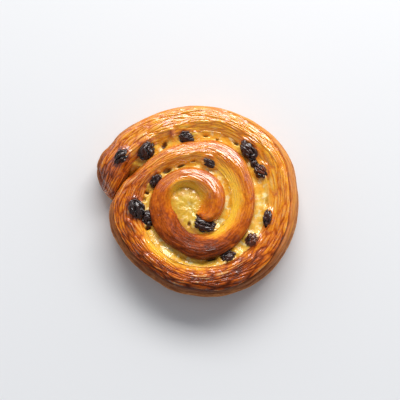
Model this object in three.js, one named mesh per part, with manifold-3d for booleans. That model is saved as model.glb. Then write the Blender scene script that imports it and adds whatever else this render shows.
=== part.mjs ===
// A pain aux raisins: a strip of laminated dough, rolled with custard and
// raisins into a flat coil and baked lying on its side.
//
// Millimetres and degrees, +Z up. The origin lies under the middle of the
// pastry, on the surface that it rests on. Places on the coil are given as a
// winding angle, which starts near 0 on the +X side of the eye and keeps
// growing turn after turn, and as a radius from the eye.

import * as THREE from 'three';
import { mergeVertices } from 'three/addons/utils/BufferGeometryUtils.js';
import Module from 'manifold-3d';

// The coil

const eye = new THREE.Vector2(-3.9, -5.9);   // centre of the coil; the tail pushes it off the middle
const stripStart = -60;                      // winding angle where the strip comes up out of the custard
const stripEnd = 883;                        // and where it is cut off, at the tail
const angleStep = 7.5;                       // between one outline of the strip and the next

// Radius of the strip's two upper edges at the places where they change course.
// Between an outer edge and the inner edge one turn on lies a groove of custard.
const innerEdge = [
  [-60, 4.7], [0, 5.1], [45, 7], [90, 10.4], [135, 12.3], [180, 10.5], [210, 8.7],
  [240, 10.7], [270, 14.6], [300, 17.4], [330, 20.4], [375, 24.2], [420, 26.4], [480, 25.6],
  [510, 27], [570, 28.1], [600, 30.2], [630, 33], [660, 36.8], [690, 40.6], [720, 43.8],
  [750, 46.2], [780, 46.6], [800, 44.6], [820, 42.2], [845, 41.7], [865, 42.3], [883, 43.9],
];
const outerEdge = [
  [-60, 9], [-30, 15.8], [0, 19.2], [45, 22.2], [90, 23.1], [180, 23.5], [210, 24],
  [240, 24.9], [255, 26.2], [270, 29], [285, 31], [300, 32], [330, 34.4], [360, 36.6],
  [390, 39.6], [408, 42], [425, 41.8], [450, 37.8], [470, 36.9], [495, 36.7], [520, 41.4],
  [530, 44], [540, 47], [552, 47.3], [570, 45.6], [600, 45], [616, 47.2], [630, 48.8],
  [645, 51.6], [690, 58.8], [720, 62.2], [735, 63.4], [750, 65.4], [780, 63.2], [810, 61.6],
  [835, 60.4], [855, 61.2], [864, 60.6], [874, 61.7], [883, 61.6],
];

const crestHeight = 33.5;    // top of the strip where it starts, in the middle
const crestFall = 2.4;       // lost on each turn outwards
const crestSway = 0.6;       // slow rise and fall along the strip
const crestSwayPace = 1.7;   // how many rises and falls there are in a turn
const crestAt = 0.58;        // place of the crest, as a share of the width from the inner edge
const crestAtRim = 0.54;     // the same on the outermost turn
const crestShift = { x: 0.14, y: -0.11 }; // how much further out it is on the +X side, and on the +Y side
const crestRoundness = 0.1225; // rounding of the crest, as a share of the way down to the lip
const climbCurve = 1.25;     // above 1, the inner slope starts flatter
const fallShare = 0.29;      // part of the fall from the crest that is gentle; the rest is at the lip
const lipCurve = 5;          // the higher, the sharper the lip
const startRise = 0.4;       // top of the strip over the custard where it starts
const grooveRise = 1.5;      // the custard's rise across the groove, to the turn outside it
// Custard beside a turn, below the crest of the turn outside it
const grooveDepth = [
  [-60, 4.6], [0, 4.2], [60, 4.4], [110, 4.8], [180, 4.4], [215, 3.4], [255, 3], [285, 3.8],
  [320, 4.8], [420, 5], [510, 5],
];
const poolHeight = 26.2;     // custard in the eye
const poolBlend = 40;        // angle over which the eye passes into the groove

const seamWidth = 2.4;       // custard left between two turns down inside
const seamTop = 0.62;        // height where the groove has narrowed to the seam, as a share of its own
const poolTaper = 3.6;       // most that the eye narrows on its way down

const exposedFrom = 517;     // the strip's outer side comes out from under the tail
const exposedTo = 549;

// Outer side of the outermost turn, from its shoulder down: distance inside the widest line, height
const rimSide = [[1.6, 18], [0.7, 15.6], [0.1, 13], [0, 10.4], [0.3, 7.8], [1, 5.2], [2.2, 2.6], [4.2, 0]];

const topRows = 14;          // points across the top of the strip
const ridge = 0.35;          // half height of the ridges that the dough's layers leave
const ridgeSway = 0.5;       // share by which a ridge swells and fades along the strip
const ridgePace = 3.1;       // how often it does so in a turn
const ridgeShift = 50;       // angle by which each ridge is ahead of the one beside it
const rimRidge = 0.3;

const tailLean = 15;         // the cut end runs slantwise, over this angle
const tailRound = 11;        // length of the rounding before the cut, as an angle
const tailNarrowing = 0.2;   // taken off the outline's width by the rounding
const tailLowering = 0.45;   // and off its height
const tailLevel = 9;         // height that the rounding draws in to
const tailDroop = 2.5;       // how much lower the crest is at the tail
const tailBulge = 3;         // the cut face bulges out by this angle

// The custard

const gap = 0.35;            // kept free round everything that is let into something else
const startClearance = 4;    // angle left free at the blunt start of the strip
const shoreClearance = 40;   // more of it where the custard's surface is hollow, for the shore's whole width
const custardEnd = 508;      // winding angle where the groove runs out, at the root of the tail
const custardFloor = 0.4;
const custardDip = 0.7;      // hollow along the middle of the groove
const custardInset = 0.28;   // width of the shore on each side of it, as a share of the groove's
const widestShore = 2.8;

// The raisins: place from the eye, length, width, heading of the long axis, and how far
// the middle sits above the surface round it

const raisins = [
  { x: -39.3, y: 29.2, length: 9.8, width: 7, heading: 45, lift: -0.3 },
  { x: -25.7, y: 33.3, length: 12.4, width: 9.2, heading: 62, lift: 0.6 },
  { x: -3.1, y: 41.2, length: 10.8, width: 7.8, heading: -10, lift: 0.7 },
  { x: -20.4, y: 16, length: 9.4, width: 6.4, heading: 70, lift: 1 },
  { x: -30.2, y: -1.1, length: 11.6, width: 9.8, heading: 120, lift: 0.9 },
  { x: -23.9, y: -6.3, length: 9.4, width: 7.8, heading: 110, lift: 0.6 },
  { x: 7.6, y: -10.1, length: 14, width: 9.2, heading: -15, lift: 0.6 },
  { x: 10.8, y: 25.5, length: 8, width: 6, heading: -35, lift: -0.1 },
  { x: 33.5, y: 32.8, length: 12.8, width: 8.8, heading: -52, lift: 0.5 },
  { x: 36.5, y: 25.5, length: 5.4, width: 5, heading: -60, lift: 0.8 },
  { x: 40.4, y: 20.7, length: 9.6, width: 7.6, heading: -50, lift: 1.1 },
  { x: 43.1, y: -6, length: 9.6, width: 5, heading: 82, lift: 1.1 },
  { x: 34.7, y: -18.6, length: 8.6, width: 7.4, heading: 50, lift: 0.9 },
  { x: 21.1, y: -27.9, length: 9.8, width: 6.6, heading: 15, lift: 0.6 },
];
const raisinFlatness = 0.82;  // height as a share of the width
const raisinFold = 0.09;      // depth of the folds, as a share of the radius

// Folds of dough that stand up against a raisin, and burst air pockets, placed in the same way
const curls = [
  { x: -9.8, y: 41.3, length: 10.6, width: 4.6, height: 9, heading: 100, lift: -1 },
  { x: 3.5, y: 42.7, length: 9.6, width: 3.6, height: 8, heading: 90, lift: -1.2 },
];
const airHoles = [
  { x: -15.1, y: 36.4, length: 5.6, width: 2.9, height: 7, heading: 60, lift: 0 },
  { x: -13.5, y: 20.3, length: 5.6, width: 3, height: 6, heading: 15, lift: 0 },
  { x: -24, y: -11.8, length: 3.8, width: 2.6, height: 6, heading: 0, lift: 0 },
];
const eggSides = 10;
const eggRings = 6;

const dough = new THREE.MeshStandardMaterial({ color: '#c67a2e', roughness: 0.35, metalness: 0 });
const custard = new THREE.MeshStandardMaterial({ color: '#e3b34a', roughness: 0.3, metalness: 0 });
const raisin = new THREE.MeshStandardMaterial({ color: '#35201a', roughness: 0.4, metalness: 0 });

const { degToRad, clamp, lerp, smoothstep } = THREE.MathUtils;

// Smooth curve through [angle, value] stops, with each slope taken from the stops beside it
function along(stops, angle) {
  const last = stops.length - 1;
  const at = clamp(angle, stops[0][0], stops[last][0]);
  let stop = 0;
  while (stop < last - 1 && stops[stop + 1][0] < at) stop++;
  const slope = (index) => {
    const [before, after] = [stops[Math.max(index - 1, 0)], stops[Math.min(index + 1, last)]];
    return (after[1] - before[1]) / (after[0] - before[0]);
  };
  const [[from, low], [to, high]] = [stops[stop], stops[stop + 1]];
  const span = to - from;
  const way = (at - from) / span;
  return (2 * way ** 3 - 3 * way ** 2 + 1) * low + (way ** 3 - 2 * way ** 2 + way) * span * slope(stop)
    + (3 * way ** 2 - 2 * way ** 3) * high + (way ** 3 - way ** 2) * span * slope(stop + 1);
}

const inner = (angle) => along(innerEdge, angle);
const outer = (angle) => along(outerEdge, angle);

function crest(angle) {
  const sway = crestSway * Math.sin(degToRad(crestSwayPace * angle + 40));
  const fall = crestFall * (angle - stripStart) / 360;
  return crestHeight - fall + sway - tailDroop * smoothstep(angle, stripEnd - 60, stripEnd);
}

// Height of the custard where it meets the strip's outer edge, and its inner one
function grooveOutside(angle) {
  const low = crest(angle + 360) - along(grooveDepth, angle);
  return lerp(poolHeight, low, smoothstep(angle, stripStart, stripStart + poolBlend));
}

function grooveInside(angle) {
  const poolEnd = stripStart + 360;
  const shore = crest(angle) - along(grooveDepth, angle - 360) + grooveRise;
  return lerp(poolHeight, shore, smoothstep(angle, poolEnd - poolBlend, poolEnd + poolBlend));
}

// How far the strip has grown into each groove by the time this has narrowed to a seam
function spreadOutside(angle) {
  const width = inner(angle + 360) - outer(angle);
  return Math.max(width - seamWidth, 0) / 2;
}

function spreadInside(angle) {
  if (angle < stripStart + 360) return Math.min(0.35 * inner(angle), poolTaper);
  return spreadOutside(angle - 360);
}

// Height of the strip's top at a share of its width, without the ridges
function topHeight(angle, share) {
  const exposed = smoothstep(angle, exposedFrom, exposedTo);
  const shift = crestShift.x * Math.cos(degToRad(angle)) + crestShift.y * Math.sin(degToRad(angle));
  const summitAt = lerp(crestAt, crestAtRim, exposed) + shift;
  const low = share < summitAt ? grooveInside(angle) : lerp(grooveOutside(angle), rimSide[0][1], exposed);
  const emerged = smoothstep(angle, stripStart - 3, stripStart + 30);
  const summit = lerp(low + startRise, crest(angle), emerged);
  if (share < summitAt) {
    return lerp(low, summit, Math.sin(Math.PI / 2 * (share / summitAt) ** climbCurve));
  }
  const beyond = (share - summitAt) / (1 - summitAt);
  const gentle = (Math.hypot(beyond, crestRoundness) - crestRoundness)
    / (Math.hypot(1, crestRoundness) - crestRoundness);
  const steep = 1 - Math.sqrt(Math.max(1 - beyond ** lipCurve, 0));
  return lerp(low, summit, 1 - fallShare * gentle - (1 - fallShare) * steep);
}

// Closed outline of the strip at one winding angle: over the top from the inner edge,
// down the outer side, and back up the inner one
function stripSection(angle) {
  const exposed = smoothstep(angle, exposedFrom, exposedTo);
  const [from, to] = [inner(angle), outer(angle) - exposed * rimSide[0][0]];
  const section = [];
  for (let row = 0; row < topRows; row++) {
    const share = row / (topRows - 1);
    const layers = ridge * (row % 2 ? 1 : -1) * Math.sin(Math.PI * share)
      * (1 + ridgeSway * Math.sin(degToRad(ridgePace * angle + ridgeShift * row)));
    section.push({ share, radius: lerp(from, to, share), height: topHeight(angle, share) + layers });
  }
  const sideRows = rimSide.length - 1;
  for (let row = 1; row <= sideRows; row++) {
    const [inset, height] = rimSide[row];
    const level = 1 - row / sideRows;
    const narrowed = Math.min((1 - level) / (1 - seamTop), 1);
    const layers = row < sideRows ? rimRidge * (row % 2 ? 1 : -1) : 0;
    const hidden = [outer(angle) + narrowed * spreadOutside(angle), level * grooveOutside(angle)];
    section.push({
      share: 1,
      radius: lerp(hidden[0], outer(angle) - inset + layers, exposed),
      height: lerp(hidden[1], height, exposed),
    });
  }
  const foot = inner(angle) - spreadInside(angle);
  section.push({ share: 0, radius: foot, height: 0 });
  section.push({ share: 0, radius: foot, height: seamTop * grooveInside(angle) });
  return section;
}

const onCoil = (angle, radius, height) => new THREE.Vector3(
  eye.x + radius * Math.cos(degToRad(angle)),
  eye.y + radius * Math.sin(degToRad(angle)),
  height,
);

// Towards the cut end of the tail the outlines stand more and more aslant
const leaning = (angle, share) => angle + (0.5 - share) * tailLean * smoothstep(angle, stripEnd - 40, stripEnd);

// The same outline in space, drawn in where the tail is cut
function stripRing(angle) {
  const ending = clamp(1 - (stripEnd - angle) / tailRound, 0, 1);
  const drawnIn = 1 - Math.sqrt(1 - ending ** 2);
  const section = stripSection(angle);
  const middle = (inner(angle) + outer(angle)) / 2;
  return section.map(({ share, radius, height }) => onCoil(
    leaning(angle, share),
    lerp(radius, middle, tailNarrowing * drawnIn),
    lerp(height, tailLevel, tailLowering * drawnIn),
  ));
}

// Winding angles from one end to the other in even steps
function windings(from, to) {
  const steps = Math.ceil((to - from) / angleStep);
  return Array.from({ length: steps + 1 }, (_, i) => Math.min(from + i * angleStep, to));
}

function meshGeometry(points, triangles) {
  const geometry = new THREE.BufferGeometry().setFromPoints(points);
  geometry.setIndex(triangles.flat());
  return geometry;
}

// Triangles between each ring of points and the next
function ringWalls(ringCount, ringLength) {
  const triangles = [];
  for (let ring = 0; ring < ringCount - 1; ring++) {
    for (let i = 0; i < ringLength; i++) {
      const next = (i + 1) % ringLength;
      const [a, b] = [ring * ringLength + i, ring * ringLength + next];
      const [c, d] = [a + ringLength, b + ringLength];
      triangles.push([a, b, d], [a, d, c]);
    }
  }
  return triangles;
}

// The middle of a ring of points
const middleOf = (ring) => ring.reduce((sum, point) => sum.add(point), new THREE.Vector3()).divideScalar(ring.length);

function makeStrip() {
  const rounding = [0.55, 0.85, 1].map((share) => stripEnd - tailRound * (1 - share));
  const rings = [...windings(stripStart, stripEnd - tailRound), ...rounding].map(stripRing);
  const cutMiddle = (inner(stripEnd) + outer(stripEnd)) / 2;
  const ringLength = rings[0].length;
  const lastRing = (rings.length - 1) * ringLength;
  const [startHub, endHub] = [lastRing + ringLength, lastRing + ringLength + 1];
  const triangles = ringWalls(rings.length, ringLength);
  for (let i = 0; i < ringLength; i++) {
    const next = (i + 1) % ringLength;
    triangles.push([startHub, next, i], [endHub, lastRing + i, lastRing + next]);
  }
  const cutHub = onCoil(stripEnd + tailBulge, cutMiddle, tailLevel);
  return meshGeometry([...rings.flat(), middleOf(rings[0]), cutHub], triangles);
}

// The custard fills all that the strip leaves free. Seen from above it is one closed
// line, out along the strip's inner side and back along its outer side.
function custardLoop(depth, height, inset) {
  const clearance = startClearance + inset * shoreClearance;
  const clearOfStart = (angle) => (angle === stripStart ? angle - clearance : angle);
  const outward = windings(stripStart, custardEnd + 360).map((angle) => {
    const width = angle < stripStart + 360 ? inner(angle) : inner(angle) - outer(angle - 360);
    const radius = inner(angle) - depth * spreadInside(angle) - gap - Math.min(inset * width, widestShore);
    return onCoil(clearOfStart(leaning(angle, 0)), radius, height(grooveInside(angle)));
  });
  const back = windings(stripStart, custardEnd).reverse().map((angle) => {
    const width = inner(angle + 360) - outer(angle);
    const radius = outer(angle) + depth * spreadOutside(angle) + gap + Math.min(inset * width, widestShore);
    return onCoil(clearOfStart(angle), radius, height(grooveOutside(angle)));
  });
  return [...outward, ...back];
}

function makeCustard() {
  const loops = [
    custardLoop(1, () => custardFloor, 0),
    custardLoop(1, (surface) => seamTop * surface, 0),
    custardLoop(0, (surface) => surface, 0),
    custardLoop(0, (surface) => surface - custardDip, custardInset),
  ];
  const loopLength = loops[0].length;
  const lastLoop = (loops.length - 1) * loopLength;
  const triangles = ringWalls(loops.length, loopLength);
  const seenFromAbove = (loop) => loop.map(({ x, y }) => new THREE.Vector2(x, y));
  for (const [a, b, c] of THREE.ShapeUtils.triangulateShape(seenFromAbove(loops[0]), [])) {
    triangles.push([a, c, b]);
  }
  for (const [a, b, c] of THREE.ShapeUtils.triangulateShape(seenFromAbove(loops.at(-1)), [])) {
    triangles.push([lastLoop + a, lastLoop + b, lastLoop + c]);
  }
  return meshGeometry(loops.flat(), triangles);
}

// Height of the pastry's surface at a place measured from the eye
function surfaceHeight(x, y) {
  const radius = Math.hypot(x, y);
  const first = THREE.MathUtils.radToDeg(Math.atan2(y, x));
  let height = poolHeight;
  for (let angle = first; angle <= stripEnd; angle += 360) {
    if (angle < stripStart || radius < inner(angle)) continue;
    const share = (radius - inner(angle)) / (outer(angle) - inner(angle));
    height = share < 1 ? topHeight(angle, share) : grooveOutside(angle);
  }
  return height;
}

// An egg shape that lies on the pastry's surface, folded lengthwise as a raisin is
function makeEgg({ x, y, length, width, height, heading, lift }, fold, grow) {
  const sphere = new THREE.SphereGeometry(1, eggSides, eggRings);
  const geometry = mergeVertices(sphere.deleteAttribute('normal').deleteAttribute('uv'));
  const position = geometry.attributes.position;
  const point = new THREE.Vector3();
  for (let i = 0; i < position.count; i++) {
    point.fromBufferAttribute(position, i);
    const round = Math.atan2(point.x, point.z);
    const folds = Math.cos(eggSides / 2 * round + x) * (1 - point.y ** 2);
    const size = 1 + fold * (folds + Math.sin(2 * point.y + x));
    position.setXYZ(i, point.x * size, point.y, point.z * size);
  }
  geometry.scale(width / 2 + grow, length / 2 + grow, height / 2 + grow);
  geometry.rotateZ(degToRad(heading - 90));
  geometry.translate(eye.x + x, eye.y + y, surfaceHeight(x, y) + lift);
  return geometry;
}

const makeRaisin = (place, grow) => makeEgg({ ...place, height: raisinFlatness * place.width }, raisinFold, grow);

const wasm = await Module();
wasm.setup();

function toSolid(geometry) {
  return new wasm.Manifold(new wasm.Mesh({
    numProp: 3,
    vertProperties: new Float32Array(geometry.attributes.position.array),
    triVerts: new Uint32Array(geometry.index.array),
  }));
}

// The largest body of a solid, without any loose scraps
const largestBody = (solid) => solid.decompose().sort((a, b) => b.volume() - a.volume())[0];

function toMesh(name, solid, material) {
  const { numProp, vertProperties, triVerts } = largestBody(solid).getMesh();
  const geometry = new THREE.BufferGeometry();
  const points = new THREE.InterleavedBuffer(vertProperties, numProp);
  geometry.setAttribute('position', new THREE.InterleavedBufferAttribute(points, 3, 0));
  geometry.setIndex(new THREE.BufferAttribute(triVerts, 1));
  const mesh = new THREE.Mesh(geometry, material);
  mesh.name = name;
  return mesh;
}

const joined = (solid, lumps) => lumps.reduce((whole, lump) => whole.add(lump), solid);
const letIn = (solid, hollows) => hollows.reduce((left, hollow) => left.subtract(hollow), solid);

const pockets = raisins.map((place) => toSolid(makeRaisin(place, gap)));
const holes = airHoles.map((place) => toSolid(makeEgg(place, 0, 0)));
const folds = curls.map((place) => toSolid(makeEgg(place, 0, 0)));
const foldPockets = curls.map((place) => toSolid(makeEgg(place, 0, gap)));

const pastry = new THREE.Group();
pastry.name = 'pain_aux_raisins';
pastry.add(toMesh('dough', letIn(joined(toSolid(makeStrip()), folds), [...holes, ...pockets]), dough));
pastry.add(toMesh('custard', letIn(toSolid(makeCustard()), [...foldPockets, ...holes, ...pockets]), custard));
raisins.forEach((place, index) => {
  const body = toSolid(makeRaisin(place, 0));
  pastry.add(toMesh(`raisin_${index + 1}`, letIn(body, pockets.slice(0, index)), raisin));
});

export default pastry;
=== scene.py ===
import math

import bpy
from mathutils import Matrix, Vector


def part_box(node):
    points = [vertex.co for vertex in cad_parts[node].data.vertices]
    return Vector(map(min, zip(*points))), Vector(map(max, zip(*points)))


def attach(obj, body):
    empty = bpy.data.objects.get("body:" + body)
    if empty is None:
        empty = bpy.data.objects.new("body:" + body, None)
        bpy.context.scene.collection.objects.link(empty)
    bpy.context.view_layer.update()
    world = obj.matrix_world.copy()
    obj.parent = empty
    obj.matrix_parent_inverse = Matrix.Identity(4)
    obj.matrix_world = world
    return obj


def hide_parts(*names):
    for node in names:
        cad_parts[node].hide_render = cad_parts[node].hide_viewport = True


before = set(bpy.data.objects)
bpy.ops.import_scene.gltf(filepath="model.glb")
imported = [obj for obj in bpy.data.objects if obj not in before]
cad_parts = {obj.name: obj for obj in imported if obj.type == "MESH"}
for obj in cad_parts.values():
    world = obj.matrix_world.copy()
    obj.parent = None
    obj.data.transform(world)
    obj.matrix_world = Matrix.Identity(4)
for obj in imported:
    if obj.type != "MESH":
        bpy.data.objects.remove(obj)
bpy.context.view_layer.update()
print("frame loaded:", len(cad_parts), "nodes")

mm = 0.001


# A number, vector or colour on its way through a node tree. Arithmetic on it adds Math nodes.
class Value:
    def __init__(self, nodes, socket):
        self.nodes = nodes
        self.socket = socket

    def out(self, name):
        return Value(self.nodes, self.socket.node.outputs[name])

    def __add__(self, other):
        return self.nodes.maths("ADD", self, other)

    def __radd__(self, other):
        return self.nodes.maths("ADD", other, self)

    def __sub__(self, other):
        return self.nodes.maths("SUBTRACT", self, other)

    def __rsub__(self, other):
        return self.nodes.maths("SUBTRACT", other, self)

    def __mul__(self, other):
        return self.nodes.maths("MULTIPLY", self, other)

    def __rmul__(self, other):
        return self.nodes.maths("MULTIPLY", other, self)

    def __truediv__(self, other):
        return self.nodes.maths("DIVIDE", self, other)

    def __rtruediv__(self, other):
        return self.nodes.maths("DIVIDE", other, self)

    def __pow__(self, other):
        return self.nodes.maths("POWER", self, other)

    def __neg__(self):
        return self.nodes.maths("MULTIPLY", self, -1.0)


class Nodes:
    def __init__(self, tree):
        self.tree = tree

    def add(self, kind, settings=None, inputs=None, output=0):
        node = self.tree.nodes.new(kind)
        for name, value in (settings or {}).items():
            if name == "stops":
                self.setStops(node.color_ramp, value)
            elif name == "curve":
                self.setCurve(node.mapping, value)
            else:
                setattr(node, name, value)
        for name, value in (inputs or {}).items():
            if isinstance(value, Value):
                self.tree.links.new(value.socket, node.inputs[name])
            else:
                node.inputs[name].default_value = value
        return Value(self, node.outputs[output]) if node.outputs else node

    def setStops(self, ramp, stops):
        while len(ramp.elements) < len(stops):
            ramp.elements.new(0.5)
        for element, (place, colour) in zip(ramp.elements, stops):
            element.position = place
            element.color = colour

    def setCurve(self, mapping, points):
        curve = mapping.curves[0]
        while len(curve.points) < len(points):
            curve.points.new(0.5, 0.5)
        for point, place in zip(curve.points, points):
            point.location = place
        mapping.update()

    def maths(self, operation, *values):
        return self.add("ShaderNodeMath", {"operation": operation}, dict(enumerate(values)))

    def root(self, a):
        return self.maths("SQRT", a)

    def least(self, a, b):
        return self.maths("MINIMUM", a, b)

    def most(self, a, b):
        return self.maths("MAXIMUM", a, b)

    def sine(self, a):
        return self.maths("SINE", a)

    def cosine(self, a):
        return self.maths("COSINE", a)

    def size(self, a):
        return self.maths("ABSOLUTE", a)

    def past(self, a, limit):
        return self.maths("GREATER_THAN", a, limit)

    # 0 below low, 1 above high, and an even or a smooth way between them
    def ramp(self, a, low, high, interpolation="SMOOTHSTEP"):
        return self.add("ShaderNodeMapRange", {"interpolation_type": interpolation},
                        {"Value": a, "From Min": low, "From Max": high})

    def mix(self, factor, a, b):
        return self.add("ShaderNodeMix", {"data_type": "FLOAT"}, {0: factor, 2: a, 3: b})

    def mixColour(self, factor, a, b):
        return self.add("ShaderNodeMix", {"data_type": "RGBA"}, {0: factor, 6: a, 7: b}, 2)

    # a curve through points whose values lie between 0 and top
    def curve(self, a, points, top):
        lowered = [(place, value / top) for place, value in points]
        return self.add("ShaderNodeFloatCurve", {"curve": lowered}, {"Value": a}) * top

    def vector(self, x, y, z):
        return self.add("ShaderNodeCombineXYZ", None, {0: x, 1: y, 2: z})

    def parts(self, vector):
        split = self.add("ShaderNodeSeparateXYZ", None, {0: vector})
        return split, split.out(1), split.out(2)

    def scaled(self, vector, factors):
        return self.add("ShaderNodeVectorMath", {"operation": "MULTIPLY"}, {0: vector, 1: factors})

    def moved(self, vector, offset):
        return self.add("ShaderNodeVectorMath", {"operation": "ADD"}, {0: vector, 1: offset})

    def stretched(self, vector, factor):
        return self.add("ShaderNodeVectorMath", {"operation": "SCALE"}, {0: vector, "Scale": factor})

    def noise(self, place, scale=1.0, detail=2.0, roughness=0.5, distortion=0.0):
        return self.add("ShaderNodeTexNoise", None, {
            "Vector": place, "Scale": scale, "Detail": detail,
            "Roughness": roughness, "Distortion": distortion})


# A colour as painters' programs give it, 0 to 255 a channel
def tint(red, green, blue):
    def linear(channel):
        share = channel / 255
        return share / 12.92 if share <= 0.04045 else ((share + 0.055) / 1.055) ** 2.4
    return (linear(red), linear(green), linear(blue), 1.0)


socketKinds = {float: "NodeSocketFloat", int: "NodeSocketInt", tuple: "NodeSocketVector",
               bpy.types.Material: "NodeSocketMaterial", bpy.types.Collection: "NodeSocketCollection"}


# A Geometry Nodes tree with one named input for each size it is given
class ShapeTree:
    def __init__(self, name, sizes):
        self.tree = bpy.data.node_groups.new(name, "GeometryNodeTree")
        self.nodes = Nodes(self.tree)
        face = self.tree.interface
        face.new_socket("Geometry", in_out="INPUT", socket_type="NodeSocketGeometry")
        face.new_socket("Geometry", in_out="OUTPUT", socket_type="NodeSocketGeometry")
        self.keys = {}
        for label, value in sizes.items():
            kind = socketKinds[type(value)]
            self.keys[label] = face.new_socket(label, in_out="INPUT", socket_type=kind).identifier
        self.start = self.nodes.add("NodeGroupInput")

    def get(self, label):
        return self.start.out(label)

    def store(self, geometry, name, value, kind="FLOAT"):
        return self.nodes.add("GeometryNodeStoreNamedAttribute", {"data_type": kind, "domain": "POINT"},
                              {"Geometry": geometry, "Name": name, "Value": value})

    def field(self, name, kind="FLOAT"):
        return self.nodes.add("GeometryNodeInputNamedAttribute", {"data_type": kind}, {"Name": name})

    # keeps the column and row of a grid's points, which later moves would lose
    def counted(self, grid, columns, rows):
        x, y = self.nodes.parts(self.nodes.add("GeometryNodeInputPosition"))[:2]
        kept = self.store(grid, "station", (x + 0.5) * columns)
        kept = self.store(kept, "row", (y + 0.5) * rows)
        return kept, self.field("station"), self.field("row")

    # moves each point outwards, along the surface's normal
    def pushed(self, geometry, distance):
        push = self.nodes.stretched(self.nodes.add("GeometryNodeInputNormal"), distance)
        return self.nodes.add("GeometryNodeSetPosition", None, {"Geometry": geometry, "Offset": push})

    def finish(self, geometry, finish):
        real = self.nodes.add("GeometryNodeRealizeInstances", None, {"Geometry": geometry})
        dressed = self.nodes.add("GeometryNodeSetMaterial", None, {"Geometry": real, "Material": finish})
        self.nodes.add("NodeGroupOutput", None, {"Geometry": dressed})

    def fit(self, piece, sizes):
        modifier = piece.modifiers.new(self.tree.name, "NODES")
        modifier.node_group = self.tree
        for label, value in sizes.items():
            modifier[self.keys[label]] = value


def emptyPiece(name):
    piece = bpy.data.objects.new(name, bpy.data.meshes.new(name))
    bpy.context.scene.collection.objects.link(piece)
    return piece


# Turns what the modifiers make of a piece into its plain mesh
def settle(piece):
    bpy.context.view_layer.update()
    evaluated = piece.evaluated_get(bpy.context.evaluated_depsgraph_get())
    mesh = bpy.data.meshes.new_from_object(evaluated)
    old = piece.data
    piece.modifiers.clear()
    piece.data = mesh
    mesh.name = piece.name
    bpy.data.meshes.remove(old)
    for polygon in mesh.polygons:
        polygon.use_smooth = True
    print(piece.name, "has", len(mesh.polygons), "faces")


# Makes a piece from its tree and lets it stand for a node of the frame
def makePiece(shape, name, sizes, node):
    piece = emptyPiece(name)
    shape.fit(piece, sizes)
    settle(piece)
    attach(piece, "root")
    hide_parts(node)
    return piece


# The coil, measured round its eye as winding angle in degrees, radius and height in millimetres
coil = {
    "eyeX": -3.9, "eyeY": -5.9,
    "start": -60.0, "end": 883.0,
    "crestHeight": 33.5, "crestFall": 2.4,
    "crestSway": 0.6, "crestSwayPace": 1.7, "crestSwayFrom": 40.0,
    "crestAt": 0.58, "crestAtRim": 0.54,
    "crestShiftX": 0.14, "crestShiftY": -0.13, "crestShiftTop": 0.07,
    "crestRoundness": 0.08, "climbCurve": 1.25, "fallShare": 0.29, "lipCurve": 8.0,
    "startRise": 0.4, "startBlend": 30.0,
    "grooveRise": 1.5, "poolHeight": 26.2, "poolBlend": 40.0,
    "seamWidth": 2.4, "seamTop": 0.62, "poolTaper": 3.6, "poolTaperShare": 0.35,
    "exposedFrom": 517.0, "exposedTo": 549.0,
    "tailLean": 15.0, "tailLeanReach": 40.0, "tailRound": 11.0,
    "tailNarrowing": 0.2, "tailLowering": 0.45, "tailLevel": 9.0,
    "tailDroop": 2.5, "tailDroopReach": 60.0, "tailBulge": 3.4,
}

# radius of the strip's upper edges at the places where they change course
innerEdge = [
    (-60, 4.7), (0, 5.1), (45, 7), (90, 10.4), (135, 12.3), (180, 10.5), (210, 8.7),
    (240, 10.7), (270, 14.6), (300, 17.4), (330, 20.4), (375, 24.2), (420, 26.4), (480, 25.6),
    (510, 27), (570, 28.1), (600, 30.2), (630, 33), (660, 36.8), (690, 40.6), (720, 43.8),
    (750, 46.2), (780, 46.6), (800, 44.6), (820, 42.2), (845, 41.7), (865, 42.3), (883, 43.9),
]
outerEdge = [
    (-60, 9), (-30, 15.8), (0, 19.2), (45, 22.2), (90, 23.1), (180, 23.5), (210, 24),
    (240, 24.9), (255, 26.2), (270, 29), (285, 31), (300, 32), (330, 34.4), (360, 36.6),
    (390, 39.6), (408, 42), (425, 41.8), (450, 37.8), (470, 36.9), (495, 36.7), (520, 41.4),
    (530, 44), (540, 47), (552, 47.3), (570, 45.6), (600, 45), (616, 47.2), (630, 48.8),
    (645, 51.6), (690, 58.8), (720, 62.2), (735, 63.4), (750, 65.4), (780, 63.2), (810, 61.6),
    (835, 60.4), (855, 61.2), (864, 60.6), (874, 61.7), (883, 61.6),
]

# how far the custard beside a turn lies below the crest of the turn outside it
grooveDepth = [
    (-60, 4.6), (0, 4.2), (60, 4.4), (110, 4.8), (180, 4.4), (215, 3.4), (255, 3), (285, 3.8),
    (320, 4.8), (420, 5), (510, 5), (883, 5),
]

# outer side from the shoulder down: share of the way, how far inside the widest line, height
rimSide = [(0, 1.6, 18), (0.14, 0.7, 15.6), (0.29, 0.1, 13), (0.43, 0, 10.4), (0.57, 0.3, 7.8),
           (0.71, 1, 5.2), (0.86, 2.2, 2.6), (1, 4.2, 0)]

# how far up the inner slope the custard has stained the dough, along the coil; from 50 to 110 degrees it
# reaches further as painted light, paling an inner slope that faces away from the lamp
stainReachAndPaintedLight = [(-60, 0.04), (0, 0.06), (50, 0.2), (110, 0.24), (150, 0.1), (190, 0.0), (270, 0.02),
              (300, 0.14), (330, 0.26), (375, 0.3), (405, 0.2), (440, 0.12), (480, 0.06), (510, 0.0),
              (550, 0.0), (590, 0.2), (630, 0.16), (665, 0.06), (700, 0.04), (883, 0.0)]

# how darkly the crest has baked; round the lower left, where the turns face away from the lamp, part of
# this darkness is painted shade
crestToastAndShade = [(-60, 0.52), (0, 0.6), (60, 0.56), (110, 0.54), (150, 0.64), (200, 0.7), (245, 0.84),
              (290, 0.88), (325, 0.68), (350, 0.6), (380, 0.52), (430, 0.46), (475, 0.42), (510, 0.58),
              (560, 0.58), (600, 0.7), (650, 0.76), (690, 0.6), (730, 0.38), (780, 0.3), (835, 0.38),
              (865, 0.56), (883, 0.7)]

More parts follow.
